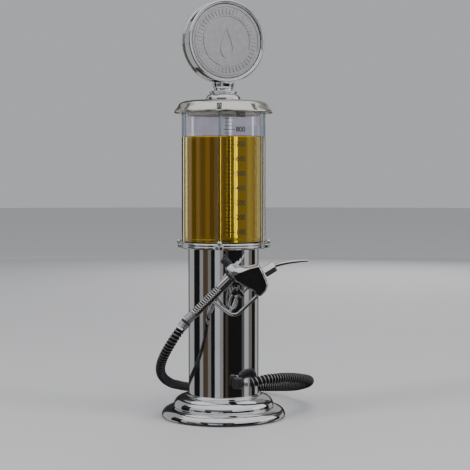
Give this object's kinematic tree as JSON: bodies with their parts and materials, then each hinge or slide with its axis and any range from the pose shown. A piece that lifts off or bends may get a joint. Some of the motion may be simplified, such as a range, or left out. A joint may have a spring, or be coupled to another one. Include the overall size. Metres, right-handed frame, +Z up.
{
  "type": "tabletop drinks dispenser shaped like a petrol pump",
  "caption": "Tabletop drinks dispenser shaped like a vintage petrol pump: clear tank on a polished column, round sign on the lid, hose and hand nozzle with a trigger.",
  "frame": {"origin": "centre of the foot pad's underside, on the axis of the base, column and tank", "axes": "+Z up along the column, -Y towards the front where the nozzle hangs, +X towards the spout"},
  "size_m": [0.1906, 0.2512, 0.4899],
  "materials": {
    "chrome": "mirror-bright plating, faint polishing marks",
    "satin": "pearl satin metal with a soft sheen",
    "lid": "pale silver, semi-gloss",
    "clear": "clear moulded acrylic, polished",
    "white": "off-white moulded plastic",
    "black": "black moulded plastic",
    "hose": "black corrugated hose with a silver-grey spiral",
    "rubber": "matt black",
    "silicone": "translucent off-white",
    "steel": "plain machined steel"
  },
  "bodies": {
    "stand": {"foot_pad": "rubber", "base_plate": "steel", "base_shell": "chrome", "base_weight": "steel", "column_tube": "chrome", "hook_bracket": "chrome", "outlet_elbow": "black", "outlet_gasket": "rubber", "outlet_nut": "steel", "outlet_ferrule": "satin", "hose": "hose", "drain_tube": "silicone", "collar": "chrome", "tank_gasket": "silicone", "tank": "clear", "drain_washer": "silicone", "drain_fitting": "white", "drain_nut": "white", "base_screw_1": "steel", "base_screw_2": "steel", "base_screw_3": "steel", "hook_screw_1": "steel", "hook_screw_2": "steel", "rod_1": "clear", "collar_screw_1": "chrome", "rod_2": "clear", "collar_screw_2": "chrome", "rod_3": "clear", "collar_screw_3": "chrome", "rod_4": "clear", "collar_screw_4": "chrome"},
    "lid": {"lid_shell": "lid", "lid_liner": "white", "lid_seal": "silicone"},
    "globe": {"neck": "chrome", "neck_washer": "steel", "neck_bolt": "steel", "globe_nut": "steel", "globe_drum": "chrome", "front_bezel": "chrome", "rear_bezel": "chrome", "front_face": "satin", "rear_face": "satin"},
    "nozzle": {"nozzle_head": "chrome", "pivot_pin": "steel", "valve_cap": "black", "nozzle_grip": "chrome", "grip_end": "satin", "grip_ring": "black", "hose_ferrule": "satin", "trigger_guard": "chrome", "spout_ferrule": "chrome", "spout": "chrome"},
    "trigger": {"trigger": "chrome"},
    "valve": {"valve_stem": "steel", "valve_spring": "steel"}
  },
  "joints": [
    {"name": "lid_lift", "type": "slide", "parent": "stand", "child": "lid", "axis": [0, 0, 1], "range_m": [0, 0.15]},
    {"name": "globe_turn", "type": "hinge", "parent": "lid", "child": "globe", "pos_m": [0, 0, 0.38], "axis": [0, 0, 1], "range_deg": [-180, 180]},
    {"name": "nozzle_lift", "type": "slide", "parent": "stand", "child": "nozzle", "axis": [0, -0.9397, 0.342], "range_m": [0, 0.03], "deforming": ["hose"]},
    {"name": "trigger_squeeze", "type": "hinge", "parent": "nozzle", "child": "trigger", "pos_m": [0.01534, -0.058, 0.15603], "axis": [0, 1, 0], "range_deg": [0, 20], "stiffness_Nm_per_rad": 0.06, "springref_deg": -6.88},
    {"name": "valve_pull", "type": "slide", "parent": "nozzle", "child": "valve", "axis": [-0.7193, 0, -0.6947], "range_m": [0, 0.003], "deforming": ["valve_spring"]}
  ],
  "couplings": [
    {"joint": "valve_pull", "follows": "trigger_squeeze", "m_per_rad": 0.0075}
  ]
}
